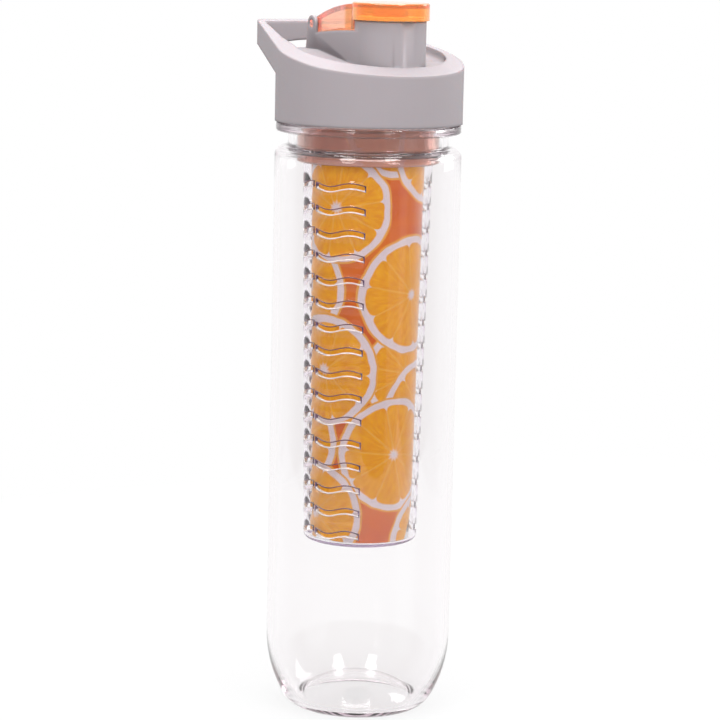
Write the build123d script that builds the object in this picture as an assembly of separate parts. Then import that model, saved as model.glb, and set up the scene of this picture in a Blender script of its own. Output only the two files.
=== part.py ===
from build123d import *
import math
import os

# Fruit infuser water bottle, in millimetres. The origin is the centre of the base, at the surface
# it stands on. +Z is up, +X points to the drinking spout and -X to the carry loop.

# Clearances and one overrun for every cut
running_gap = 0.05
loose_gap = 0.3
overrun = 5.0

# Bottle body: a blown clear bottle with a drawn-in heel and a raised centre under the base
body_radius = 35.5
body_wall = 2.0
heel_height = 28.0
heel_inset = 6.3
heel_foot_height = 4.0
foot_inset = 10.5
foot_width = 2.5
pushup_height = 9.0
shoulder_height = 217.0
shoulder_round = 3.6

# Bottle neck: a waist above the shoulder, a support bead and the finish that the lid screws on
waist_inset = 5.0
waist_height = 5.4
bead_inset = 0.4
bead_thickness = 3.4
bead_bevel = 0.8
thread_room = 1.8
finish_height = 14.2
finish_wall = 2.4
rim_bevel = 0.7

# Lid shell: a skirt whose top is cut by two tilted planes, the outer edge and the crest inside it
lid_overlap = 0.1
lid_wall = 1.8
lid_plate = 1.8
edge_rise = 9.5
edge_tilt = 12.0
crest_inset = 5.6
crest_rise = 1.6
crest_tilt = 9.6
crest_land = 1.4
deck_step = 1.2
deck_tilt = 8.0
deck_flat_rise = 1.2

# Carry loop: two arms, tangents of the skirt outside and of the crest inside, that meet in a bar
loop_root_inset = 15.6
loop_room = 16.9
loop_inset = 12.1
loop_corner = 3.5
arm_tip_width = 2.6
bar_thickness = 3.1
loop_inner_corner = 2.0
loop_depth = 10.4
loop_under_tilt = 13.6
bar_arch = 1.9

# Drinking spout, its bore and the scoop under the cap's lip
spout_margin = 1.0
spout_radius = 13.4
spout_wall = 2.5
spout_rise = 3.9
scoop_radius = 5.0
scoop_depth = 1.1

# Hinge block behind the spout, with two ears; its top rises over the edge from the ears to the spout
hinge_inset = 6.8
hinge_rise = 3.4
ear_radius = 3.1
ear_thickness = 1.4
block_draft = 2.6
block_rise = 9.5
block_fall = 2.2
block_middle_fall = 0.6
block_middle_share = 0.44
block_wall = 2.0

# Flip cap: a shallow cup on an arm, with two pivot pins that snap into the ears
cap_overhang = 1.1
cap_height = 6.4
cap_plate = 1.8
cap_skin = 1.6
cap_round = 0.7
arm_clearance = 0.4
arm_middle_share = 0.42
arm_middle_rise_share = 0.72
knuckle_radius = 2.3
pin_radius = 1.5
plug_flange = 1.2
plug_depth = 3.6
plug_gap = 0.25
plug_hollow_share = 0.72
cap_boss_share = 0.62

# Lid seal, and the ring under the lid that the infuser screws into
seal_thickness = 1.6
socket_wall = 1.8
socket_length = 13.6
socket_clearance = 1.1

# Infuser: a collar with a screw neck, and a tapered basket with wavy slots
collar_skirt = 16.6
collar_bevel = 1.4
collar_neck = 10.8
collar_neck_wall = 1.8
collar_ledge = 1.8
basket_wall = 1.3
basket_length = 160.5
basket_taper = 0.0189
basket_floor = 1.5
basket_bevel_width = 2.0
basket_bevel_height = 1.8
basket_inner_bevel = 1.0
slot_rows = 16
slot_first = 4.55
slot_top_gap = 23.05
slot_height = 1.5
slot_wave = 0.8
slot_wave_shift = 5.0
slot_period = 44.0
slot_span = 48.0
slot_rib = 6.0
slot_direction = -81.0
slot_spans = 6

# Rolled fruit card that stands in the basket, with a slanted lower corner at its seam
card_thickness = 0.4
card_top_gap = 2.0
card_bottom_gap = 1.3
card_headroom = 4.0
card_seam = 0.6
card_seam_direction = 62.0
card_gap_width = 10.6
card_gap_height = 18.0

# Radii of the bottle and its lid, worked out from the body's
heel_foot_radius = body_radius - heel_inset
foot_radius = body_radius - foot_inset
waist_radius = body_radius - waist_inset
bead_radius = body_radius - bead_inset
lid_radius = body_radius + lid_overlap
finish_radius = lid_radius - lid_wall - thread_room
crest_radius = lid_radius - crest_inset
loop_root = lid_radius - loop_root_inset
loop_reach = lid_radius + loop_room
loop_half_width = lid_radius - loop_inset
loop_window_half_width = loop_half_width - arm_tip_width

# Heights worked out from the sizes above
bead_bottom = shoulder_height + waist_height
bead_top = bead_bottom + bead_thickness
rim_top = bead_top + finish_height
lid_bottom = bead_top + loose_gap
ceiling = rim_top + loose_gap + seal_thickness
edge_height = ceiling + edge_rise
crest_height = edge_height + crest_rise
deck_height = edge_height - deck_step
deck_flat = edge_height + deck_flat_rise
loop_under = edge_height - loop_depth
block_top = edge_height + block_rise
block_middle = block_top - block_middle_fall
block_low = block_top - block_fall
hinge_z = block_low + hinge_rise
spout_top = block_top + spout_rise
cup_bottom = spout_top + loose_gap
cut_top = hinge_z + loop_reach

# Places of the spout and the hinge on the lid
spout_offset = crest_radius - spout_radius - spout_margin
spout_bore = spout_radius - spout_wall
cup_radius = spout_radius + cap_overhang
hinge_x = hinge_inset - crest_radius
ear_inside = spout_radius - ear_thickness
block_rear = hinge_x - ear_radius

# Radii of what nests in the neck, from the bottle's inner wall inwards
waist_bore = waist_radius - finish_wall
socket_radius = waist_bore - socket_clearance
socket_bore = socket_radius - socket_wall
collar_radius = socket_radius
collar_neck_radius = socket_bore - loose_gap
collar_bore = collar_neck_radius - collar_neck_wall
socket_bottom = ceiling - socket_length
collar_top = socket_bottom - loose_gap
basket_top = collar_top - collar_ledge - running_gap
basket_top_radius = collar_neck_radius - running_gap
basket_bottom = basket_top - basket_length
slot_pitch = (basket_length - slot_first - slot_top_gap) / (slot_rows - 1)
card_bottom = basket_bottom + basket_floor
card_top = basket_top - card_headroom


def turn(outline):
    """Turn a face drawn in the XZ plane about the Z axis."""
    return revolve(outline, Axis.Z)


def tilted_plane(height, tilt):
    """A plane through the axis at a height, falling towards the spout."""
    angle = math.radians(tilt)
    return Plane(
        origin=(0, 0, height),
        x_dir=(math.cos(angle), 0, -math.sin(angle)),
        z_dir=(math.sin(angle), 0, math.cos(angle)),
    )


def above(plane):
    """Everything over a plane, as far as the lid reaches."""
    size = 2 * cut_top
    return plane * Box(size, size, size, align=(Align.CENTER, Align.CENTER, Align.MIN))


def column(radius, bottom, top):
    """An upright cylinder on the axis."""
    return Pos(0, 0, bottom) * Cylinder(radius, top - bottom, align=(Align.CENTER, Align.CENTER, Align.MIN))


def spout_column(radius, bottom, top):
    """An upright cylinder on the spout's axis."""
    return Pos(spout_offset, 0, 0) * column(radius, bottom, top)


def hinge_pin(radius, length):
    """A cylinder along the hinge."""
    return Pos(hinge_x, 0, hinge_z) * Rot(90, 0, 0) * Cylinder(radius, length)


def box_between(start_x, end_x, half_width, bottom, top):
    """A box that is centred on the XZ plane."""
    box = Box(end_x - start_x, 2 * half_width, top - bottom, align=(Align.MIN, Align.CENTER, Align.MIN))
    return Pos(start_x, 0, bottom) * box


def side_prism(outline, half_width):
    """Extrude a face drawn in the XZ plane to both sides of it."""
    return extrude(outline, half_width, dir=(0, 1, 0), both=True)


def bottle_body():
    """The clear bottle: outer profile less inner profile, turned as one wall."""
    inner_radius = body_radius - body_wall
    finish_bore = finish_radius - finish_wall
    shoulder_side = shoulder_height - shoulder_round
    waist_corner = body_radius - shoulder_round

    def profile(inset):
        """The bottle's outline below its shoulder, moved in by a wall."""
        heel_top = (body_radius - inset, 0, heel_height)
        heel_low = (heel_foot_radius - inset, 0, heel_foot_height + inset)
        heel_arc = Edge.make_tangent_arc(heel_top, (0, 0, -1), heel_low)
        foot = Edge.make_tangent_arc(heel_arc @ 1, heel_arc % 1, (foot_radius - inset / 2, 0, inset))
        land = Edge.make_line(foot @ 1, (foot_radius - foot_width + inset / 2, 0, inset))
        dome = Edge.make_tangent_arc((0, 0, pushup_height + inset), (1, 0, 0), land @ 1)
        return [heel_arc, foot, land, dome]

    outer = profile(0) + [
        Edge.make_line((0, 0, pushup_height), (0, 0, rim_top)),
        Edge.make_line((0, 0, rim_top), (finish_radius, 0, rim_top)),
        Edge.make_line((finish_radius, 0, rim_top), (finish_radius, 0, bead_top)),
        Edge.make_line((finish_radius, 0, bead_top), (bead_radius, 0, bead_top)),
        Edge.make_line((bead_radius, 0, bead_top), (bead_radius, 0, bead_bottom)),
        Edge.make_line((bead_radius, 0, bead_bottom), (waist_radius, 0, bead_bottom)),
        Edge.make_line((waist_radius, 0, bead_bottom), (waist_radius, 0, shoulder_height)),
        Edge.make_line((waist_radius, 0, shoulder_height), (waist_corner, 0, shoulder_height)),
        Edge.make_tangent_arc(
            (waist_corner, 0, shoulder_height), (1, 0, 0), (body_radius, 0, shoulder_side)
        ),
        Edge.make_line((body_radius, 0, shoulder_side), (body_radius, 0, heel_height)),
    ]
    inner_shoulder = shoulder_height - body_wall
    inner_corner = inner_radius - shoulder_round + body_wall
    inner = profile(body_wall) + [
        Edge.make_line((0, 0, pushup_height + body_wall), (0, 0, rim_top + overrun)),
        Edge.make_line((0, 0, rim_top + overrun), (finish_bore, 0, rim_top + overrun)),
        Edge.make_line((finish_bore, 0, rim_top + overrun), (finish_bore, 0, bead_top)),
        Edge.make_line((finish_bore, 0, bead_top), (waist_bore, 0, bead_bottom)),
        Edge.make_line((waist_bore, 0, bead_bottom), (waist_bore, 0, inner_shoulder)),
        Edge.make_line((waist_bore, 0, inner_shoulder), (inner_corner, 0, inner_shoulder)),
        Edge.make_line((inner_corner, 0, inner_shoulder), (inner_radius, 0, shoulder_side)),
        Edge.make_line((inner_radius, 0, shoulder_side), (inner_radius, 0, heel_height)),
    ]
    solid = turn(Face(Wire(outer)))
    bead_edges = solid.edges().filter_by(GeomType.CIRCLE)
    bead_edges = [e for e in bead_edges if abs(e.radius - bead_radius) < running_gap]
    solid = chamfer(bead_edges, bead_bevel)
    solid = solid - turn(Face(Wire(inner)))
    rim_edges = [e for e in solid.edges().filter_by(GeomType.CIRCLE) if e.center().Z > rim_top - running_gap]
    return chamfer(rim_edges, rim_bevel)


def loop_shape(radius, reach, half_width, corner):
    """A circle on the axis and two corner circles behind it, wrapped by tangents."""
    rounds = Circle(radius).edges()
    for side in (-1, 1):
        rounds += (Pos(corner - reach, side * (half_width - corner)) * Circle(corner)).edges()
    return make_hull(rounds)


def lid_crown():
    """The skirt's top: cut by the edge plane, with a sloping band up to the crest."""
    edge_plane = tilted_plane(edge_height, edge_tilt)
    crest_plane = tilted_plane(crest_height, crest_tilt)
    edge_long = lid_radius / math.cos(math.radians(edge_tilt))
    crest_long = crest_radius / math.cos(math.radians(crest_tilt))
    drum = column(lid_radius, lid_bottom, cut_top) - above(edge_plane)
    edge = edge_plane * Ellipse(edge_long, lid_radius)
    crest = crest_plane * Ellipse(crest_long, crest_radius)
    return drum + loft([edge, crest], ruled=True)


def loop_arms():
    """Arms and bar: the outline from above, kept between the edge plane and a tilted underside."""
    outline = loop_shape(lid_radius, loop_reach, loop_half_width, loop_corner)
    block = Pos(0, 0, lid_bottom) * extrude(outline, cut_top - lid_bottom)
    front = box_between(0, 2 * lid_radius, lid_radius + overrun, 0, cut_top)
    underside = tilted_plane(loop_under, loop_under_tilt)
    loop = (block - front) & above(underside) - above(tilted_plane(edge_height, edge_tilt))

    # The bar's underside is arched for the fingers
    half = loop_window_half_width
    bar_low = loop_under + loop_reach * math.tan(math.radians(loop_under_tilt))
    arch_left = (-half, bar_low - bar_arch)
    arch_right = (half, bar_low - bar_arch)
    arch = make_face(
        Polyline(arch_left, (-half, bar_low - overrun), (half, bar_low - overrun), arch_right)
        + ThreePointArc(arch_right, (0, bar_low + bar_arch / 2), arch_left)
    )
    bar_plane = Plane(origin=(-loop_reach - overrun, 0, 0), x_dir=(0, 1, 0), z_dir=(1, 0, 0))
    return loop - bar_plane * extrude(arch, overrun + bar_thickness + overrun)


def lid_deck():
    """Everything under the deck, which falls towards the spout and runs level behind the hinge."""
    return column(lid_radius, lid_bottom, deck_flat) - above(tilted_plane(deck_height, deck_tilt))


def hinge_block():
    """The block's side profile with the ears' round tops, and a nest between the ears."""
    ear_front = hinge_x + ear_radius
    middle_x = ear_front + block_middle_share * (spout_offset - ear_front)
    block_front = (spout_offset, block_top)
    profile = make_face(
        Line((block_rear - block_draft, ceiling), (block_rear, hinge_z))
        + ThreePointArc((block_rear, hinge_z), (hinge_x, hinge_z + ear_radius), (ear_front, hinge_z))
        + Line((ear_front, hinge_z), (ear_front, block_low))
        + ThreePointArc((ear_front, block_low), (middle_x, block_middle), block_front)
        + Line(block_front, (spout_offset, ceiling))
        + Line((spout_offset, ceiling), (block_rear - block_draft, ceiling))
    )
    block = side_prism(Plane.XZ * profile, spout_radius)
    nest = box_between(block_rear - overrun, ear_front, ear_inside, block_low, cut_top)
    return block - nest - hinge_pin(pin_radius + running_gap, 2 * lid_radius)


def lid_moulding():
    """The whole grey lid: skirt, crown, carry loop, hinge block, spout and infuser socket."""
    window_reach = loop_reach - bar_thickness
    window = loop_shape(crest_radius - crest_land, window_reach, loop_window_half_width, loop_inner_corner)
    window = Pos(0, 0, lid_bottom - overrun) * extrude(window, cut_top)
    spout = spout_column(spout_radius, ceiling, spout_top)
    shell = lid_crown() + loop_arms() - window + lid_deck() + hinge_block() + spout

    # Under the lid: the room for the neck, the cored block, the spout's bore and the infuser socket
    neck_room = column(lid_radius - lid_wall, lid_bottom - overrun, ceiling)
    socket = column(socket_radius, socket_bottom, ceiling)
    socket = socket - column(socket_bore, socket_bottom - overrun, ceiling)
    under_deck = column(socket_bore, ceiling - overrun, deck_flat - lid_plate)
    under_deck = under_deck - above(tilted_plane(deck_height - lid_plate, deck_tilt))
    core_top = block_low - block_wall
    core = box_between(block_rear + block_wall, spout_offset, spout_radius - block_wall, ceiling, core_top)
    core = core & column(socket_bore, ceiling, core_top)
    bore = spout_column(spout_bore, ceiling - overrun, spout_top + overrun)
    divider = spout & column(lid_radius, ceiling, spout_top)
    shell = shell - neck_room - under_deck - core + (divider - bore) - bore + socket

    # The thumb scoop at the top of the spout's front
    scoop_x = spout_offset + spout_radius + scoop_radius - scoop_depth
    return shell - Pos(scoop_x, 0, spout_top) * Sphere(scoop_radius)


def lid_pieces():
    """The lid's moulding as four solids that meet face to face, one for each of its forms."""
    whole = lid_moulding()
    loop_zone = box_between(-loop_reach - overrun, -loop_root, lid_radius, lid_bottom, cut_top)
    loop_zone = loop_zone - column(lid_radius, lid_bottom - overrun, cut_top + overrun)
    block_zone = box_between(block_rear - block_draft - overrun, spout_offset, spout_radius, ceiling, cut_top)
    spout_zone = block_zone + spout_column(spout_radius, ceiling, cut_top) - lid_deck()
    socket_zone = column(socket_radius, socket_bottom, ceiling)
    return {
        "lid_shell": whole - loop_zone - spout_zone - socket_zone,
        "carry_loop": whole & loop_zone,
        "spout_block": whole & spout_zone,
        "socket_ring": whole & socket_zone,
    }


def arm_outline(inset):
    """The arm's side view from the knuckle into the cup, its top lowered by a plate."""
    top = cup_bottom + cap_height - cap_round - inset
    knuckle_top = hinge_z + knuckle_radius - inset
    middle_x = hinge_x + arm_middle_share * (spout_offset - hinge_x)
    middle_z = knuckle_top + arm_middle_rise_share * (top - knuckle_top)
    heel = (hinge_x + knuckle_radius, block_low + arm_clearance)
    under_front = (spout_offset, block_top + arm_clearance)
    under_middle = ((heel[0] + spout_offset) / 2, under_front[1])
    start, end = (hinge_x, knuckle_top), (spout_offset, top)
    return make_face(
        ThreePointArc(start, (middle_x, middle_z), end)
        + Polyline(end, under_front, under_middle, heel, (hinge_x, hinge_z), start)
    )


def flip_cap():
    """The clear orange cap: a cup over the spout, a hollow arm, a knuckle and two pivot pins."""
    arm_half = ear_inside - arm_clearance
    cup = spout_column(cup_radius, cup_bottom, cup_bottom + cap_height)
    cup = fillet(cup.edges().filter_by(GeomType.CIRCLE).sort_by(Axis.Z)[-1], cap_round)
    arm = side_prism(Plane.XZ * arm_outline(0), arm_half)
    spout_room = spout_column(spout_radius + loose_gap, lid_bottom, cup_bottom)
    front_room = box_between(spout_offset, spout_offset + cut_top, cut_top, lid_bottom, cup_bottom)

    # Hollow from below, leaving a plate on top and a skin at the sides and round the cup
    cup_room = spout_column(cup_radius - cap_skin, cup_bottom - overrun, cup_bottom + cap_height - cap_plate)
    hollow_start = hinge_x + knuckle_radius + cap_skin
    hollow = side_prism(Plane.XZ * arm_outline(cap_plate), arm_half - cap_skin)
    hollow = hollow + box_between(hollow_start, spout_offset, arm_half - cap_skin, lid_bottom, hinge_z)
    hollow = hollow & box_between(hollow_start, spout_offset, arm_half, lid_bottom, cut_top)
    hollow = hollow - spout_column(cup_radius, lid_bottom, cut_top)
    boss_top = cup_bottom + cap_height - cap_plate / 2
    boss = spout_column(cap_boss_share * spout_bore, cup_bottom + plug_flange, boss_top)
    cap = cup + arm - spout_room - front_room - hollow - cup_room + boss
    pins = hinge_pin(pin_radius, 2 * (spout_radius - running_gap))
    return cap + hinge_pin(knuckle_radius, 2 * arm_half) + pins


def cap_plug():
    """The soft plug under the cap: a flange on the spout's rim and a hollow stopper in its bore."""
    plug_radius = spout_bore - plug_gap
    plug_low = cup_bottom - plug_depth
    flange = spout_column(cup_radius - cap_skin - running_gap, cup_bottom, cup_bottom + plug_flange)
    stopper = spout_column(plug_radius, plug_low, cup_bottom)
    stopper = chamfer(stopper.edges().filter_by(GeomType.CIRCLE).sort_by(Axis.Z)[0], plug_gap)
    return flange + stopper - spout_column(plug_hollow_share * plug_radius, plug_low, cup_bottom)


def lid_seal():
    """The soft ring between the neck's rim and the lid's ceiling."""
    inner = socket_radius + loose_gap
    outer = lid_radius - lid_wall - loose_gap
    ring = column(outer, ceiling - seal_thickness, ceiling)
    return ring - column(inner, rim_top - overrun, ceiling + overrun)


def basket_radius(height, inset=0):
    """The basket's outer radius at a height, less a wall."""
    return basket_top_radius - basket_taper * (basket_top - height) - inset


def tapered_column(bottom, top, inset):
    """A solid cone that follows the basket's taper, set in by a wall."""
    low = basket_radius(bottom, inset)
    high = basket_radius(top, inset)
    outline = Polyline((0, bottom), (low, bottom), (high, top), (0, top), close=True)
    return turn(Plane.XZ * make_face(outline))


def infuser_collar():
    """The grey clear collar: a skirt round the basket's top and a neck that screws into the lid."""
    bottom = collar_top - collar_skirt
    skirt = column(collar_radius, bottom, collar_top)
    skirt = chamfer(skirt.edges().filter_by(GeomType.CIRCLE).sort_by(Axis.Z)[0], collar_bevel)
    neck = column(collar_neck_radius, collar_top, collar_top + collar_neck)
    bore = column(collar_bore, bottom - overrun, collar_top + collar_neck + overrun)
    basket_room = tapered_column(bottom - overrun, collar_top - collar_ledge, -running_gap)
    return skirt + neck - bore - basket_room


def slot_prism(start, stop, height):
    """One wavy slot: its outline on a plane across the mould's pull, pushed through the wall."""
    radius = basket_radius(height)
    low, high = [], []
    for step in range(slot_spans + 1):
        angle = start + (stop - start) * step / slot_spans
        across = radius * math.sin(math.radians(angle))
        wave = slot_wave * math.cos(math.tau * (angle + slot_wave_shift) / slot_period)
        low.append((across, height + wave - slot_height / 2))
        high.append((across, height + wave + slot_height / 2))
    sides = Polyline(*low, *reversed(high), close=True)
    pull = Plane(origin=(0, 0, 0), x_dir=(0, 1, 0), z_dir=(1, 0, 0))
    return extrude(pull * make_face(sides), body_radius)


def basket_slots():
    """Rows of slots from one mould slide, two slots a row with a rib between them."""
    slots = []
    for row in range(slot_rows):
        height = basket_bottom + slot_first + row * slot_pitch
        for start in (slot_rib / 2, -slot_rib / 2 - slot_span):
            slots.append(slot_prism(start, start + slot_span, height))
    return Rot(0, 0, slot_direction) * Compound(children=slots)


def infuser_basket():
    """The clear tapered basket: a thin cup with a bevelled bottom edge and rows of wavy slots."""
    cup = tapered_column(basket_bottom, basket_top, 0)
    low = cup.edges().filter_by(GeomType.CIRCLE).sort_by(Axis.Z)[0]
    cup = chamfer(low, basket_bevel_height, basket_bevel_width)
    inside = tapered_column(basket_bottom + basket_floor, basket_top, basket_wall)
    inner_low = inside.edges().filter_by(GeomType.CIRCLE).sort_by(Axis.Z)[0]
    inside = chamfer(inner_low, basket_inner_bevel)
    slots = basket_slots()
    return cup - inside - slots.solids() - (Rot(0, 0, 180) * slots).solids()


def fruit_card():
    """The printed card, rolled to a cone with a narrow seam, its lower corner cut at a slant."""
    low = basket_radius(card_bottom, basket_wall + card_bottom_gap)
    high = basket_radius(card_top, basket_wall + card_top_gap)
    outer = [(low, card_bottom), (high, card_top)]
    inner = [(high - card_thickness, card_top), (low - card_thickness, card_bottom)]
    sheet = turn(Plane.XZ * make_face(Polyline(*outer, *inner, close=True)))
    seam = box_between(0, body_radius, card_seam / 2, card_bottom - overrun, card_top + overrun)
    side = Plane(origin=(0, 0, card_bottom), x_dir=(0, 1, 0), z_dir=(1, 0, 0))
    corner = Polyline((0, card_gap_height), (0, 0), (-card_gap_width, 0), close=True)
    gap = extrude(side * make_face(corner), body_radius)
    return sheet - Rot(0, 0, card_seam_direction) * (seam + gap)


parts = {
    "bottle_body": bottle_body(),
    **lid_pieces(),
    "lid_seal": lid_seal(),
    "flip_cap": flip_cap(),
    "cap_plug": cap_plug(),
    "infuser_collar": infuser_collar(),
    "infuser_basket": infuser_basket(),
    "fruit_card": fruit_card(),
}

os.makedirs("parts", exist_ok=True)
for name, shape in parts.items():
    export_step(shape, f"parts/{name}.step")
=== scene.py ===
import math

import bmesh
import bpy
import numpy as np
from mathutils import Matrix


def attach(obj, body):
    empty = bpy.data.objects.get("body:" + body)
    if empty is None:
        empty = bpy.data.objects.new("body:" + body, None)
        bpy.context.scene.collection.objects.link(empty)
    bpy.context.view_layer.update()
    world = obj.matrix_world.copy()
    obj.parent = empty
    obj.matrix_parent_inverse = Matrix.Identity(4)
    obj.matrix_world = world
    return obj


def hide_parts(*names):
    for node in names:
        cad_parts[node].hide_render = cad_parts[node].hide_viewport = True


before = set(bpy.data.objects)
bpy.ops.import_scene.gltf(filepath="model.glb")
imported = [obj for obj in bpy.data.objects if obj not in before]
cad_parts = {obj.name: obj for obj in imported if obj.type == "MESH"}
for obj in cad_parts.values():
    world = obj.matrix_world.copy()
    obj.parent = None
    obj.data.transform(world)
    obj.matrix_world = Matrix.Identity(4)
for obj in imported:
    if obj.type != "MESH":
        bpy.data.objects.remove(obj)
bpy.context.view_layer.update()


# Bottle body
# One clear copolyester moulding, blown from a preform whose neck, with its support bead and its
# thread, is moulded first. It has a drawn-in heel and a raised centre under the base.
def tangent_arc(start, heading, end, steps=14):
    """Points of the circle arc that leaves start along heading and reaches end, and its last heading.

    An arc turns by twice the angle between its first heading and its chord, and its radius is half the
    chord over the sine of that angle.
    """
    start, end, heading = (np.array(v, float) for v in (start, end, heading))
    chord = end - start
    half = math.atan2(heading[0] * chord[1] - heading[1] * chord[0], heading @ chord)
    turn = 2 * half
    radius = np.hypot(*chord) / (2 * math.sin(half))
    centre = start + radius * np.array([-heading[1], heading[0]]) / np.hypot(*heading)
    angles = np.linspace(0, turn, steps)[:, None]
    spoke = start - centre
    across = np.array([-spoke[1], spoke[0]])
    points = centre + np.cos(angles) * spoke + np.sin(angles) * across
    last = np.array([
        math.cos(turn) * heading[0] - math.sin(turn) * heading[1],
        math.sin(turn) * heading[0] + math.cos(turn) * heading[1],
    ])
    return points, last


def rounded(corners, steps=6):
    """A path through corners of (radius, height, round), each round an arc that touches both its sides.

    An arc starts and ends at its round over the tangent of half the corner's angle from the corner.
    """
    rows = np.array(corners, float)
    points = []
    for before, corner, after in zip(np.roll(rows, 1, 0), rows, np.roll(rows, -1, 0)):
        if corner[2] == 0:
            points.append(corner[None, :2])
            continue
        back = (before - corner)[:2] / np.hypot(*(before - corner)[:2])
        ahead = (after - corner)[:2] / np.hypot(*(after - corner)[:2])
        half = math.acos(np.clip(back @ ahead, -1, 1)) / 2
        reach = corner[2] / math.tan(half)
        points.append(tangent_arc(corner[:2] + back * reach, -back, corner[:2] + ahead * reach, steps)[0])
    return np.concatenate(points)


def spaced(path, gap):
    """A path of (radius, height) with points added by its running length, none further apart than a gap."""
    length = np.concatenate([[0], np.cumsum(np.hypot(*np.diff(path, axis=0).T))])
    stations = np.unique(np.concatenate([length, np.arange(0, length[-1], gap)]))
    return np.stack([np.interp(stations, length, path[:, 0]), np.interp(stations, length, path[:, 1])], -1)


def finish_mesh(name, points, faces, sharp=35):
    """A mesh object in metres from points in millimetres: doubles merged, faces outwards, smooth but for
    edges sharper than an angle."""
    mesh = bpy.data.meshes.new(name)
    mesh.from_pydata(np.asarray(points).reshape(-1, 3) / 1000, [], faces.tolist())
    work = bmesh.new()
    work.from_mesh(mesh)
    bmesh.ops.remove_doubles(work, verts=work.verts, dist=1e-6)
    bmesh.ops.dissolve_degenerate(work, edges=work.edges, dist=1e-6)
    bmesh.ops.recalc_face_normals(work, faces=work.faces)
    work.to_mesh(mesh)
    work.free()
    mesh.shade_smooth()
    mesh.set_sharp_from_angle(angle=math.radians(sharp))
    piece = bpy.data.objects.new(name, mesh)
    bpy.context.scene.collection.objects.link(piece)
    return piece


def grid_faces(rows, columns, round_rows=False, round_columns=False):
    """The quads of a grid of points; where it is round, the last row or column meets the first."""
    row = np.arange(rows if round_rows else rows - 1)[:, None]
    column = np.arange(columns if round_columns else columns - 1)[None, :]
    below, beside = (row + 1) % rows, (column + 1) % columns
    corners = (
        row * columns + column, row * columns + beside,
        below * columns + beside, below * columns + column,
    )
    return np.stack([c + 0 * row + 0 * column for c in corners], -1).reshape(-1, 4)


def turned(name, profile, steps=180):
    """A closed profile of (radius, height) turned about the Z axis."""
    angles = np.linspace(0, 2 * math.pi, steps, endpoint=False)
    radius, height = profile[:, :1], profile[:, 1:]
    points = np.stack([radius * np.cos(angles), radius * np.sin(angles), height + 0 * angles], -1)
    return finish_mesh(name, points, grid_faces(len(profile), steps, True, True))


def paint_corner_shade(piece, corners):
    """A point attribute of painted shade that is 1 at corners of (radius, height, reach) and fades over
    each one's reach.
    """
    where = np.zeros(len(piece.data.vertices) * 3)
    piece.data.vertices.foreach_get("co", where)
    where = where.reshape(-1, 3) * 1000
    radius, height = np.hypot(where[:, 0], where[:, 1]), where[:, 2]
    shade = np.zeros(len(where))
    for corner_radius, corner_height, reach in corners:
        away = np.hypot(radius - corner_radius, height - corner_height) / reach
        shade = np.maximum(shade, np.clip(1 - away, 0, 1))
    piece.data.attributes.new("corner", "FLOAT", "POINT").data.foreach_set("value", shade)


wall = 2.0
body_radius, heel_top, foot_radius = 35.5, 28, 25
heel_end = np.array([29.2, 4])
dome_radius, dome_height = 22.5, 9
shoulder, waist_radius, waist_bore = 217, 30.5, 28.1
bead_radius, bead_low, bead_high = 35.1, 222.4, 225.8
mouth_radius, mouth_bore, mouth_top = 32, 29.6, 240

# Heel, foot and raised base are arcs, and a bend rounds the corner where the foot turns up into the base.
# The inside follows a wall's thickness away.
heel, heel_heading = tangent_arc((body_radius, heel_top), (0, -1), heel_end)
foot, _ = tangent_arc(heel_end, heel_heading, (foot_radius, 0), 8)
dome, _ = tangent_arc((0, dome_height), (1, 0), (dome_radius, 0), 20)
foot_bend = rounded([(foot_radius - 0.5, 0, 0), (dome_radius, 0, 5.0), (*dome[-4], 0)], 8)[1:-1]

inner_heel_end = heel_end + (-wall, wall)
inner_heel, inner_heading = tangent_arc((body_radius - wall, heel_top), (0, -1), inner_heel_end)
inner_foot, _ = tangent_arc(inner_heel_end, inner_heading, (foot_radius - 1, wall), 8)
inner_dome, _ = tangent_arc((0, dome_height + wall), (1, 0), (dome_radius + 1, wall), 20)
inner_bend = rounded([(*inner_dome[-5], 0), (dome_radius + 1.3, wall, 3.0), (*inner_foot[-5], 0)], 10)[1:-1]

neck_outside = rounded([
    (mouth_bore, bead_high, 0), (mouth_bore, mouth_top, 0.7), (mouth_radius, mouth_top, 0.7),
    (mouth_radius, bead_high, 0.3), (bead_radius, bead_high, 0.8), (bead_radius, bead_low, 0.8),
    (waist_radius, bead_low, 0.5), (waist_radius, shoulder, 0.8), (body_radius, shoulder, 3.6),
    (body_radius, shoulder - 5, 0),
])
neck_inside = rounded([
    (body_radius - wall, shoulder - 17, 0), (body_radius - wall, shoulder - wall, 2.4),
    (waist_bore, shoulder - wall, 1.2), (waist_bore, bead_low, 1.0), (mouth_bore, bead_high, 0),
])
bottle = turned("bottle_wall", np.concatenate([
    spaced(neck_outside[1:], 0.5), heel, foot[1:], foot_bend, dome[-4::-1],
    inner_dome[:-4], inner_bend, inner_foot[-5::-1], inner_heel[::-1], neck_inside,
]))
# Painted shade: marks the waist's fillet over the shoulder and the bead's top edge, where the bottle's
# colour is darkened below.
paint_corner_shade(bottle, [
    (waist_radius + 0.4, shoulder + 0.05, 0.7), (bead_radius - 0.2, bead_high - 0.1, 0.5),
])


def node(tree, kind, settings, *inputs):
    """Add a shader node, set what it is told, and feed its inputs in order with sockets or values."""
    new = tree.nodes.new(kind)
    for key, value in settings.items():
        setattr(new, key, value)
    for place, value in enumerate(inputs):
        if isinstance(value, bpy.types.NodeSocket):
            tree.links.new(value, new.inputs[place])
        elif value is not None:
            new.inputs[place].default_value = value
    return new


def noise(tree, scale, detail, roughness, place=None):
    """A noise's value, on Object coordinates unless another place is given."""
    if place is None:
        place = node(tree, "ShaderNodeTexCoord", {}).outputs["Object"]
    return node(tree, "ShaderNodeTexNoise", {}, place, None, scale, detail, roughness).outputs["Fac"]


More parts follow.
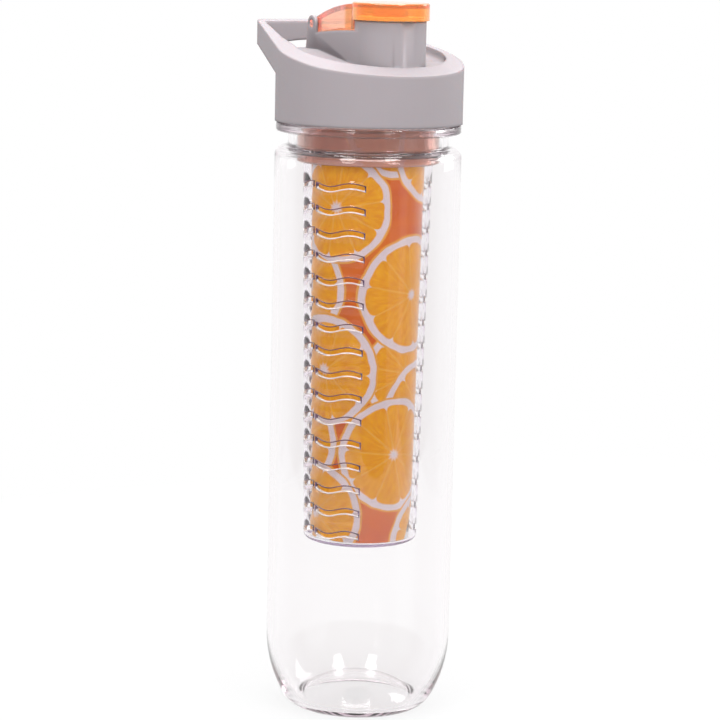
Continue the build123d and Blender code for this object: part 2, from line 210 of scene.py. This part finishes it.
def ramp(tree, value, low, high, first=0.0, last=1.0, curve="LINEAR"):
    """The first number where the value is low, the last where it is high, and a way between them."""
    settings = {"interpolation_type": curve}
    return node(tree, "ShaderNodeMapRange", settings, value, low, high, first, last).outputs[0]


def blend(tree, share, first, second):
    """The first colour where the share is 0, the second where it is 1, mixed between."""
    other_kinds = [None] * 5
    mix = node(tree, "ShaderNodeMix", {"data_type": "RGBA"}, share, *other_kinds, first, second)
    return mix.outputs[2]


def finish(name, **sockets):
    """A material whose Principled shader has the given sockets set, and its node tree and shader."""
    material = bpy.data.materials.new(name)
    material.use_nodes = True
    shader = material.node_tree.nodes["Principled BSDF"]
    for key, value in sockets.items():
        shader.inputs[key.replace("_", " ")].default_value = value
    return material, material.node_tree, shader


def uneven_gloss(tree, shader, grain, grain_span, roughness_span):
    """Roughness that goes over its span as a noise goes over its own."""
    tree.links.new(ramp(tree, grain, *grain_span, *roughness_span), shader.inputs["Roughness"])


def dye_depth(tree, colour, density):
    """Colour in the plastic's depth, which takes more of the light the longer its way through is."""
    dye = node(tree, "ShaderNodeVolumeAbsorption", {}, colour, density)
    tree.links.new(dye.outputs[0], tree.nodes["Material Output"].inputs["Volume"])


def clear_plastic(name, colour, density):
    """Clear plastic with its tint in its depth, so that it shows where the wall is long in the line of
    sight. Fine scuffs vary the gloss."""
    material, tree, shader = finish(name, Base_Color=(1, 1, 1, 1), IOR=1.45, Transmission_Weight=1.0)
    uneven_gloss(tree, shader, noise(tree, 260.0, 4.0, 0.65), (0.35, 0.75), (0.01, 0.04))
    dye_depth(tree, colour, density)
    return material, tree, shader


bottle_plastic, bottle_tree, bottle_shader = clear_plastic(
    "clear_bottle_plastic", (0.55, 0.28, 0.42, 1), 14.0)
# Painted shade: where the corner attribute is 1 the clear plastic's colour turns deep plum. This stands in
# for the dark lines that refraction draws along the neck's fillets.
corner = node(bottle_tree, "ShaderNodeAttribute", {"attribute_name": "corner"}).outputs["Fac"]
painted_corner_shade = blend(bottle_tree, corner, (1, 1, 1, 1), (0.16, 0.08, 0.09, 1))
bottle_tree.links.new(painted_corner_shade, bottle_shader.inputs["Base Color"])
bottle.data.materials.append(bottle_plastic)
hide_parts("bottle_body")
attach(bottle, "bottle")


# Bottle thread
# The finish's two-start screw thread, moulded with the neck. It is kept shallow, so that the lid's own
# thread passes it at every angle of the lid.
def thread(name, root, crest, start_height, width, start_angle, pitch=5.0, turns=1.4):
    """A helical ridge: its section is a raised cosine across the width, from the root radius to the crest,
    and its height fades in and out over the first and last eighth of a turn."""
    along = np.linspace(0, 2 * math.pi * turns, int(96 * turns))[:, None]
    across = np.linspace(0, 1, 9)[None, :]
    fade = np.clip(np.minimum(along, along[-1, 0] - along) / (math.pi / 4), 0, 1)
    bump = 0.5 - 0.5 * np.cos(2 * math.pi * across)
    sunk = 0.15 * np.sign(root - crest)
    radius = root + sunk + (crest - root - sunk) * bump * fade
    radius = np.where((across == 0) | (across == 1), root + sunk, radius)
    height = start_height + pitch * along / (2 * math.pi) + width * (across - 0.5)
    angle = start_angle + along + 0 * across
    points = np.stack([radius * np.cos(angle), radius * np.sin(angle), height + 0 * angle], -1)
    return finish_mesh(name, points, grid_faces(*points.shape[:2], False, True), sharp=80)


for count, start_angle in enumerate((0.0, math.pi)):
    ridge = thread(
        f"bottle_thread_{count + 1}", root=mouth_radius, crest=mouth_radius + 0.8,
        start_height=228.6, width=2.6, start_angle=start_angle)
    ridge.data.materials.append(bottle_plastic)
    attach(ridge, "bottle")


# Lid
# One satin polypropylene moulding in a warm light grey: skirt, tilted crown, carry loop, hinge block and
# spout. Its edges are a little round, and the moulds are lightly spark-eroded, which leaves a fine grain.
lid_forms = []
for name in ("lid_shell", "carry_loop", "spout_block", "socket_ring"):
    form = bpy.data.objects.new(name + "_form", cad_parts[name].data.copy())
    work = bmesh.new()
    work.from_mesh(form.data)
    bmesh.ops.remove_doubles(work, verts=work.verts, dist=1e-6)
    work.to_mesh(form.data)
    work.free()
    bpy.context.scene.collection.objects.link(form)
    lid_forms.append(form)
for form in lid_forms[1:]:
    weld = lid_forms[0].modifiers.new("weld", "BOOLEAN")
    weld.operation, weld.solver, weld.object = "UNION", "EXACT", form
welded = lid_forms[0].evaluated_get(bpy.context.evaluated_depsgraph_get())
moulding = bpy.data.meshes.new_from_object(welded)
for form in lid_forms:
    bpy.data.objects.remove(form)
moulding.materials.clear()
work = bmesh.new()
work.from_mesh(moulding)
bmesh.ops.remove_doubles(work, verts=work.verts, dist=2e-6)
bmesh.ops.dissolve_limit(work, angle_limit=math.radians(0.5), verts=work.verts, edges=work.edges)
work.to_mesh(moulding)
work.free()
moulding.shade_smooth()
moulding.set_sharp_from_angle(angle=math.radians(30))
lid = bpy.data.objects.new("lid_moulding", moulding)
bpy.context.scene.collection.objects.link(lid)

grey, grey_tree, grey_shader = finish(
    "grey_polypropylene", IOR=1.49, Specular_IOR_Level=0.25, Subsurface_Weight=0.08, Subsurface_Scale=0.002)
mottle = noise(grey_tree, 35.0, 3.0, 0.5)
shade = blend(grey_tree, mottle, (0.164, 0.147, 0.156, 1), (0.176, 0.158, 0.167, 1))
grey_tree.links.new(shade, grey_shader.inputs["Base Color"])
grain = noise(grey_tree, 2600.0, 2.0, 0.6)
uneven_gloss(grey_tree, grey_shader, grain, (0.3, 0.7), (0.58, 0.72))
relief = node(grey_tree, "ShaderNodeBump", {}, 0.12, 0.00006)
grey_tree.links.new(grain, relief.inputs["Height"])
round_edge = node(grey_tree, "ShaderNodeBevel", {"samples": 6}, 0.0015)
grey_tree.links.new(round_edge.outputs[0], relief.inputs["Normal"])
grey_tree.links.new(relief.outputs[0], grey_shader.inputs["Normal"])
moulding.materials.append(grey)
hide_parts("lid_shell", "carry_loop", "spout_block", "socket_ring")
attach(lid, "lid")


# Lid thread
# The matching two-start thread inside the skirt, moulded with the lid in the same grey polypropylene.
# Its ridges point inwards, so each one's crest has a smaller radius than its root.
for count, start_angle in enumerate((0.0, math.pi)):
    ridge = thread(
        f"lid_thread_{count + 1}", root=33.8, crest=33.1,
        start_height=230.2, width=2.4, start_angle=start_angle)
    ridge.data.materials.append(grey)
    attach(ridge, "lid")


# Seal and plug
# Two soft white silicone mouldings: the flat ring that the neck's rim presses on, and the stopper with
# its flange that is pushed on the boss under the cap.
def dress(name, plastic):
    """Give a piece that the scene keeps from model.glb its one material."""
    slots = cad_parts[name].data.materials
    slots.clear()
    slots.append(plastic)


silicone, silicone_tree, silicone_shader = finish(
    "white_silicone", Base_Color=(0.80, 0.79, 0.78, 1), IOR=1.41,
    Subsurface_Weight=0.3, Subsurface_Scale=0.002)
bloom = noise(silicone_tree, 400.0, 3.0, 0.6)
uneven_gloss(silicone_tree, silicone_shader, bloom, (0.3, 0.7), (0.35, 0.55))
dress("lid_seal", silicone)
dress("cap_plug", silicone)


# Flip cap
# A clear orange moulding, polished, with its arm, knuckle and pivot pins in one. The colour is in the
# plastic, so it is deepest where the wall is thick or seen edge on.
orange, orange_tree, orange_shader = finish("clear_orange_plastic", IOR=1.46, Transmission_Weight=0.85)
# The arm lies before x = 0 and the cup past it, and the cup's colour is deeper. The arm's paler colour is
# partly its thinner plastic and partly a painted sheen, the white that its top mirrors.
cap_place = node(orange_tree, "ShaderNodeTexCoord", {}).outputs["Object"]
along_cap = node(orange_tree, "ShaderNodeSeparateXYZ", {}, cap_place).outputs[0]
cup_share = ramp(orange_tree, along_cap, 0.0, 0.002)
pale_arm_and_sheen_to_cup = blend(orange_tree, cup_share, (1, 0.85, 0.78, 1), (0.90, 0.55, 0.20, 1))
orange_tree.links.new(pale_arm_and_sheen_to_cup, orange_shader.inputs["Base Color"])
uneven_gloss(orange_tree, orange_shader, noise(orange_tree, 220.0, 3.0, 0.5), (0.35, 0.7), (0.04, 0.12))
dye_depth(orange_tree, (0.962, 0.50, 0.0, 1), 195.0)
dress("flip_cap", orange)


# Infuser collar
# A smoky clear moulding: a skirt round the basket's top, a ledge over it and a neck that screws into the
# ring under the lid.
skirt_radius, skirt_bore, skirt_low, ledge = 27, 24.6, 211.4, 228
neck_radius, neck_bore, neck_top = 24.9, 23.1, 238.8
seat_radius, seat = 24.88, 226.2
collar = turned("collar_ring", rounded([
    (skirt_bore, skirt_low, 0.6), (skirt_radius, skirt_low, 2.0), (skirt_radius, ledge, 0.5),
    (neck_radius, ledge, 0.2), (neck_radius, neck_top, 0.5), (neck_bore, neck_top, 0.5),
    (neck_bore, seat, 0.2), (seat_radius, seat, 0.1),
]))
smoky, smoky_tree, smoky_shader = finish(
    "smoky_clear_plastic", Base_Color=(0.95, 0.61, 0.52, 1), IOR=1.5, Transmission_Weight=0.75)
uneven_gloss(smoky_tree, smoky_shader, noise(smoky_tree, 180.0, 3.0, 0.5), (0.35, 0.7), (0.05, 0.14))
dye_depth(smoky_tree, (0.42, 0.10, 0.0, 1), 40.0)
collar.data.materials.append(smoky)
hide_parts("infuser_collar")
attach(collar, "infuser")


# Infuser basket
# A clear injection moulding, tapered and closed at the bottom, with 16 rows of wavy slots that two slides
# of the mould leave, two slots a row on each side with a rib between them.
basket_top, basket_bottom, basket_wall = 226.15, 65.65, 1.3
basket_radius, taper = 24.85, 0.0189
slot_count, slot_pitch, lowest_slot, half_slot = 16, 8.86, 70.2, 0.75
plain_top_levels = [basket_top, 215.0, 208.6]
slide_angle, rib_middle, half_rib, slot_end = -81, -1, 3, 51
wave_height, wave_length, wave_middle, wave_end, wave_fade_length = 0.8, 44, -5, 72, 20

# Angles are in degrees. A level's height is its own plus, at a slot, a cosine of the angle from the slide's
# pull, which fades out before the mould's parting line. The radius falls with the depth under the top, and
# the bottom is rings.
angles = np.arange(0, 360, 2.0)
from_slide = (angles - slide_angle + 90) % 180 - 90
wave_fade = np.clip((wave_end - np.abs(from_slide)) / wave_fade_length, 0, 1)
ripple = wave_height * np.cos(2 * math.pi * (from_slide - wave_middle) / wave_length) * wave_fade
levels, waves = list(plain_top_levels), [0, 0, 0]
for slot in lowest_slot + slot_pitch * np.arange(slot_count)[::-1]:
    levels += [slot + half_slot, slot, slot - half_slot, slot - slot_pitch / 2]
    waves += [1, 1, 1, 0]
levels[-1] = basket_bottom + 1.8
heights = np.array(levels)[:, None] + np.array(waves)[:, None] * ripple
radius = basket_radius - taper * (basket_top - heights)
bottom_radius = np.array([21.7, 21.2, 20.4, 19.4, 12, 5, 0])[:, None] + 0 * angles
bottom_height = basket_bottom + np.array([1.2, 0.5, 0.1, 0, 0, 0, 0])[:, None] + 0 * angles
radius = np.concatenate([radius, bottom_radius])
heights = np.concatenate([heights, bottom_height])
points = np.stack([radius * np.cos(np.radians(angles)), radius * np.sin(np.radians(angles)), heights], -1)

# A slot is open over the two rows of faces that its three levels bound, from the rib to the slot's end.
faces = grid_faces(len(points), len(angles), False, True).reshape(-1, len(angles), 4)
from_rib = np.abs(from_slide - rib_middle)
in_slot_angle = (from_rib > half_rib) & (from_rib < slot_end)
in_slot_row = np.zeros(len(points) - 1, bool)
for upper_or_lower in (len(plain_top_levels), len(plain_top_levels) + 1):
    in_slot_row[upper_or_lower:upper_or_lower + 4 * slot_count:4] = True
keep = ~(in_slot_row[:, None] & in_slot_angle[None, :])
basket = finish_mesh("basket_shell", points, faces[keep], sharp=40)
thickness = basket.modifiers.new("wall", "SOLIDIFY")
thickness.thickness, thickness.offset, thickness.use_even_offset = basket_wall / 1000, -1, True
thickness.material_offset_rim = 1
rims = basket.modifiers.new("round_rims", "BEVEL")
rims.width, rims.segments, rims.material = 0.0005, 2, 1
rims.limit_method, rims.angle_limit = "ANGLE", math.radians(55)
basket.data.materials.append(clear_plastic("clear_basket_plastic", (0.50, 0.10, 0.72, 1), 14.0)[0])

# Painted light: the slot rims' colour goes by which way they face. Rims that face up get a painted
# highlight. Rims that face down get painted shade, brown where they face straight down and plum nearer
# level.
cut, cut_tree, cut_shader = finish("slot_edge_painted_light", Roughness=0.15, IOR=1.5, Transmission_Weight=0.3)
normal = node(cut_tree, "ShaderNodeNewGeometry", {}).outputs["Normal"]
lie = node(cut_tree, "ShaderNodeSeparateXYZ", {}, normal).outputs[2]
painted_highlight_share = ramp(cut_tree, lie, -0.1, 0.7, curve="SMOOTHSTEP")
level = ramp(cut_tree, lie, -0.9, -0.1)
painted_shade = blend(cut_tree, level, (0.24, 0.10, 0.06, 1), (0.13, 0.08, 0.18, 1))
painted_rim_light = blend(cut_tree, painted_highlight_share, painted_shade, (0.95, 0.90, 0.86, 1))
cut_tree.links.new(painted_rim_light, cut_shader.inputs["Base Color"])
basket.data.materials.append(cut)
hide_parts("infuser_basket")
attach(basket, "infuser")


# Fruit card
# A glossy printed card, rolled to the basket's taper, white inside. Its print is a plain pattern of
# citrus slices on red-orange. UV is in millimetres, from the print's middle and from the card's foot.
card_low_radius, card_high_radius, card_foot, card_top, card_thickness = 19.25, 21.45, 67.3, 222.0, 0.35
seam, cut_width, cut_share = math.radians(62), math.radians(32), 2 / 15
print_middle, lap = math.radians(-28), 0.5

# The radius grows in a straight line from foot to top, and by the lap round the card, so that one edge
# lies over the other. The right edge draws back by the cut's width over the lowest share of the height.
around = np.linspace(0, 1, 181)[None, :]
upward = np.linspace(0, 1, 40)[:, None]
left_edge = seam - 2 * math.pi
right_edge = seam - cut_width * np.clip(1 - upward / cut_share, 0, 1)
card_angle = left_edge + (right_edge - left_edge) * around
card_height = card_foot + (card_top - card_foot) * upward + 0 * around
card_radius = card_low_radius + (card_high_radius - card_low_radius) * upward + lap * (around - 0.5)
layers = []
for layer in (card_radius, card_radius - card_thickness):
    layers.append(np.stack([layer * np.cos(card_angle), layer * np.sin(card_angle), card_height], -1))
rows, columns = card_angle.shape
outer_faces = grid_faces(rows, columns)
mesh = bpy.data.meshes.new("fruit_print")
mesh.from_pydata(np.concatenate([layer.reshape(-1, 3) for layer in layers]) / 1000, [],
                 np.concatenate([outer_faces, outer_faces[:, ::-1] + rows * columns]).tolist())
mesh.shade_smooth()
corner_points = np.zeros(len(mesh.loops), int)
mesh.loops.foreach_get("vertex_index", corner_points)
print_around = card_radius * (card_angle - print_middle)
flat = np.stack([np.tile(print_around.ravel(), 2), np.tile((card_height - card_foot).ravel(), 2)], -1)
mesh.uv_layers.new(name="print").data.foreach_set("uv", flat[corner_points].ravel())
printed = mesh.attributes.new("printed", "FLOAT", "POINT")
printed.data.foreach_set("value", np.repeat([1.0, 0.0], rows * columns))
card = bpy.data.objects.new("fruit_print", mesh)
bpy.context.scene.collection.objects.link(card)


def reckon(tree, operation, *values):
    """The result of one shader operation on numbers."""
    return node(tree, "ShaderNodeMath", {"operation": operation}, *values).outputs[0]


def citrus_slice():
    """A shader group that draws one citrus slice at a centre.

    Rind, pith, flesh and heart are rings of the distance from the centre, which a noise makes uneven, and
    ten membranes are lines of the angle round it.
    """
    segments = 10
    group = bpy.data.node_groups.new("citrus_slice", "ShaderNodeTree")
    inputs = {"Place": "Vector", "Centre": "Vector", "Radius": "Float", "Turn": "Float", "Under": "Color"}
    for name, kind in inputs.items():
        group.interface.new_socket(name, in_out="INPUT", socket_type="NodeSocket" + kind)
    group.interface.new_socket("Colour", in_out="OUTPUT", socket_type="NodeSocketColor")
    given = group.nodes.new("NodeGroupInput").outputs

    def step(value, low, high, first=0.0, last=1.0):
        """The first number below low, the last above high, smooth between."""
        return ramp(group, value, low, high, first, last, "SMOOTHSTEP")

    settings = {"operation": "SUBTRACT"}
    offset = node(group, "ShaderNodeVectorMath", settings, given["Place"], given["Centre"]).outputs[0]
    span = node(group, "ShaderNodeVectorMath", {"operation": "LENGTH"}, offset).outputs["Value"]
    parts = node(group, "ShaderNodeSeparateXYZ", {}, offset).outputs
    angle = reckon(group, "ADD", reckon(group, "ARCTAN2", parts[1], parts[0]), given["Turn"])
    uneven = reckon(group, "SUBTRACT", noise(group, 0.09, 2.0, 0.5, given["Place"]), 0.5)
    away = reckon(group, "ADD", span, reckon(group, "MULTIPLY", uneven, 2.4))
    inset = reckon(group, "SUBTRACT", given["Radius"], away)

    # Edge is 0 in the middle of a segment and 1 at its membranes, and gap is the way to the nearest one.
    phase = reckon(group, "FRACT", reckon(group, "MULTIPLY", angle, segments / (2 * math.pi)))
    edge = reckon(group, "ABSOLUTE", reckon(group, "MULTIPLY_ADD", phase, 2.0, -1.0))
    half_segment = reckon(group, "MULTIPLY", away, math.pi / segments)
    gap = reckon(group, "MULTIPLY", reckon(group, "SUBTRACT", 1.0, edge), half_segment)
    membrane = step(gap, 0.10, 0.55, 1.0, 0.0)

    # The flesh meets the pith with round corners, and the heart in a star of ten points.
    round_corner = reckon(group, "MULTIPLY", reckon(group, "POWER", edge, 9.0), 1.7)
    flesh = step(reckon(group, "SUBTRACT", inset, round_corner), 3.1, 3.7)
    star = reckon(group, "SUBTRACT", away, reckon(group, "MULTIPLY", edge, 0.6))
    past_heart = step(star, 0.7, 2.6)
    round_it, along_it = reckon(group, "MULTIPLY", angle, 7.0), reckon(group, "MULTIPLY", away, 0.16)
    sacs = node(group, "ShaderNodeCombineXYZ", {}, round_it, along_it).outputs[0]
    juice = step(noise(group, 1.6, 4.0, 0.7, sacs), 0.3, 0.72)

    pulp = blend(group, juice, (0.90, 0.33, 0.002, 1), (1.0, 0.47, 0.004, 1))
    pulp = blend(group, reckon(group, "MULTIPLY", membrane, 0.28), pulp, (0.96, 0.62, 0.16, 1))
    inside = blend(group, reckon(group, "MULTIPLY", flesh, past_heart), (0.84, 0.73, 0.76, 1), pulp)
    slice_colour = blend(group, step(inset, 0.75, 1.15), (0.90, 0.42, 0.06, 1), inside)
    colour = blend(group, step(inset, 0.0, 0.3), given["Under"], slice_colour)
    group.links.new(colour, group.nodes.new("NodeGroupOutput").inputs[0])
    return group


# Each slice is (millimetres from the print's middle, millimetres over the foot, radius, turn in radians).
slices = [
    (-27, 97, 20, 0.5), (18, 65, 19, 0.2), (-28, 38, 19, 0.8), (10, 158, 19, 0.1), (-62, 120, 20, 0.6),
    (-52, 152, 21, 0.3), (31, 149, 21, 0.6), (-88, 148, 21, 0.2), (-12, 128, 22, 1.1), (-82, 96, 22, 0.4),
    (-50, 101, 22, 0.9), (20, 95, 23, 0.2), (-16, 66, 22, 0.7), (-66, 62, 21, 1.0), (27, 50, 20, 0.9),
    (-94, 50, 21, 0.1), (-45, 34, 22, 0.5), (13, 34, 22.5, 0.1), (-20, 10, 21, 1.2), (-76, 14, 22, 0.8),
    (32, -2, 21, 0.4),
]
paper, paper_tree, paper_shader = finish("printed_card_gloss", Roughness=0.3, IOR=1.4)
where = node(paper_tree, "ShaderNodeUVMap", {"uv_map": "print"}).outputs[0]
cloud = noise(paper_tree, 0.07, 2.0, 0.5, where)
colour = blend(paper_tree, cloud, (0.64, 0.040, 0.003, 1), (0.90, 0.25, 0.006, 1))
drawing = {"node_tree": citrus_slice()}
for across, up, size, turn in slices:
    drawn = node(paper_tree, "ShaderNodeGroup", drawing, where, (across, up, 0), size, turn, colour)
    colour = drawn.outputs[0]
side_of_card = node(paper_tree, "ShaderNodeAttribute", {"attribute_name": "printed"}).outputs["Fac"]
card_colour = blend(paper_tree, side_of_card, (0.85, 0.84, 0.82, 1), colour)
paper_tree.links.new(card_colour, paper_shader.inputs["Base Color"])
card.data.materials.append(paper)
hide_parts("fruit_card")
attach(card, "infuser")


# Stage
# A plain pale floor, a white surround, four soft lights and the camera. Gloss mirrors a brown front in
# the surround, with a paler screen at its right.
floor_mesh = bpy.data.meshes.new("floor")
floor_mesh.from_pydata([(-0.4, -0.4, 0), (0.4, -0.4, 0), (0.4, 0.4, 0), (-0.4, 0.4, 0)], [], [(0, 1, 2, 3)])
floor = bpy.data.objects.new("floor", floor_mesh)
bpy.context.scene.collection.objects.link(floor)
floor_finish, _, _ = finish(
    "pale_floor", Base_Color=(0.05, 0.05, 0.05, 1), Roughness=1.0, Specular_IOR_Level=0.0,
    Emission_Color=(1, 1, 1, 1), Emission_Strength=0.865)
floor.data.materials.append(floor_finish)
floor.visible_glossy = False

world = bpy.data.worlds.new("white_surround")
world.use_nodes = True
surround = world.node_tree
heading = node(surround, "ShaderNodeTexCoord", {}).outputs["Generated"]


def towards(direction):
    """The cosine of the angle between where a ray goes and a direction."""
    settings = {"operation": "DOT_PRODUCT"}
    return node(surround, "ShaderNodeVectorMath", settings, heading, direction).outputs["Value"]


# Only mirrored light sees the brown front. The surround lights the pieces twice as brightly as it is seen.
in_front = ramp(surround, towards((-0.883, 0.469, 0)), -0.2, 0.6, 1.0, 0.0, "SMOOTHSTEP")
screen = ramp(surround, towards((0.843, 0.537, 0)), 0.938, 0.946, 1.0, 0.55)
ray = node(surround, "ShaderNodeLightPath", {}).outputs
reflected = reckon(surround, "GREATER_THAN", ray["Glossy Depth"], 0.5)
seen = reckon(surround, "LESS_THAN", ray["Diffuse Depth"], 0.5)
mirrored = reckon(surround, "MULTIPLY", reflected, seen)
brown = reckon(surround, "MULTIPLY", mirrored, reckon(surround, "MULTIPLY", in_front, screen))
walls = blend(surround, brown, (1, 1, 1, 1), (0.24, 0.14, 0.12, 1))
brightness = reckon(surround, "MULTIPLY_ADD", seen, -1.0, 2.0)
backdrop = surround.nodes["Background"]
surround.links.new(walls, backdrop.inputs[0])
surround.links.new(brightness, backdrop.inputs[1])
bpy.context.scene.world = world


def soft_light(name, azimuth, elevation, distance, width, height, watts, aim=0.2):
    """A rectangular light that faces a height on the bottle's axis from a direction."""
    lamp = bpy.data.lights.new(name, "AREA")
    lamp.shape, lamp.size, lamp.size_y, lamp.energy = "RECTANGLE", width, height, watts
    holder = bpy.data.objects.new(name, lamp)
    bpy.context.scene.collection.objects.link(holder)
    turn, lift = math.radians(azimuth), math.radians(elevation)
    away = np.array([math.cos(turn) * math.cos(lift), math.sin(turn) * math.cos(lift), math.sin(lift)])
    holder.location = away * distance + np.array([0, 0, aim])
    holder.rotation_euler = (math.pi / 2 - lift, 0, turn + math.pi / 2)
    holder.visible_camera = False


soft_light("left_softbox", -56, 38, 1.2, 0.30, 0.45, 5.5)
soft_light("right_softbox", 8, 38, 1.2, 0.30, 0.45, 6.9)
soft_light("rim_softbox", 95, 20, 1.0, 0.4, 0.6, 3.5)
soft_light("overhead_softbox", -28, 86, 0.3, 0.3, 0.3, 3.3, 0.26)

camera = bpy.data.cameras.new("camera")
camera.lens, camera.sensor_width, camera.clip_end = 136.95, 36, 50
viewer = bpy.data.objects.new("camera", camera)
viewer.location = (0.917039, -0.487598, 0.302610)
viewer.rotation_euler = [math.radians(a) for a in (80.812, -1.2327, 62.2734)]
bpy.context.scene.collection.objects.link(viewer)
bpy.context.scene.camera = viewer
bpy.context.scene.view_settings.view_transform = "Standard"
bpy.context.scene.cycles.max_bounces = 32
bpy.context.scene.cycles.glossy_bounces = 32
bpy.context.scene.cycles.transmission_bounces = 32
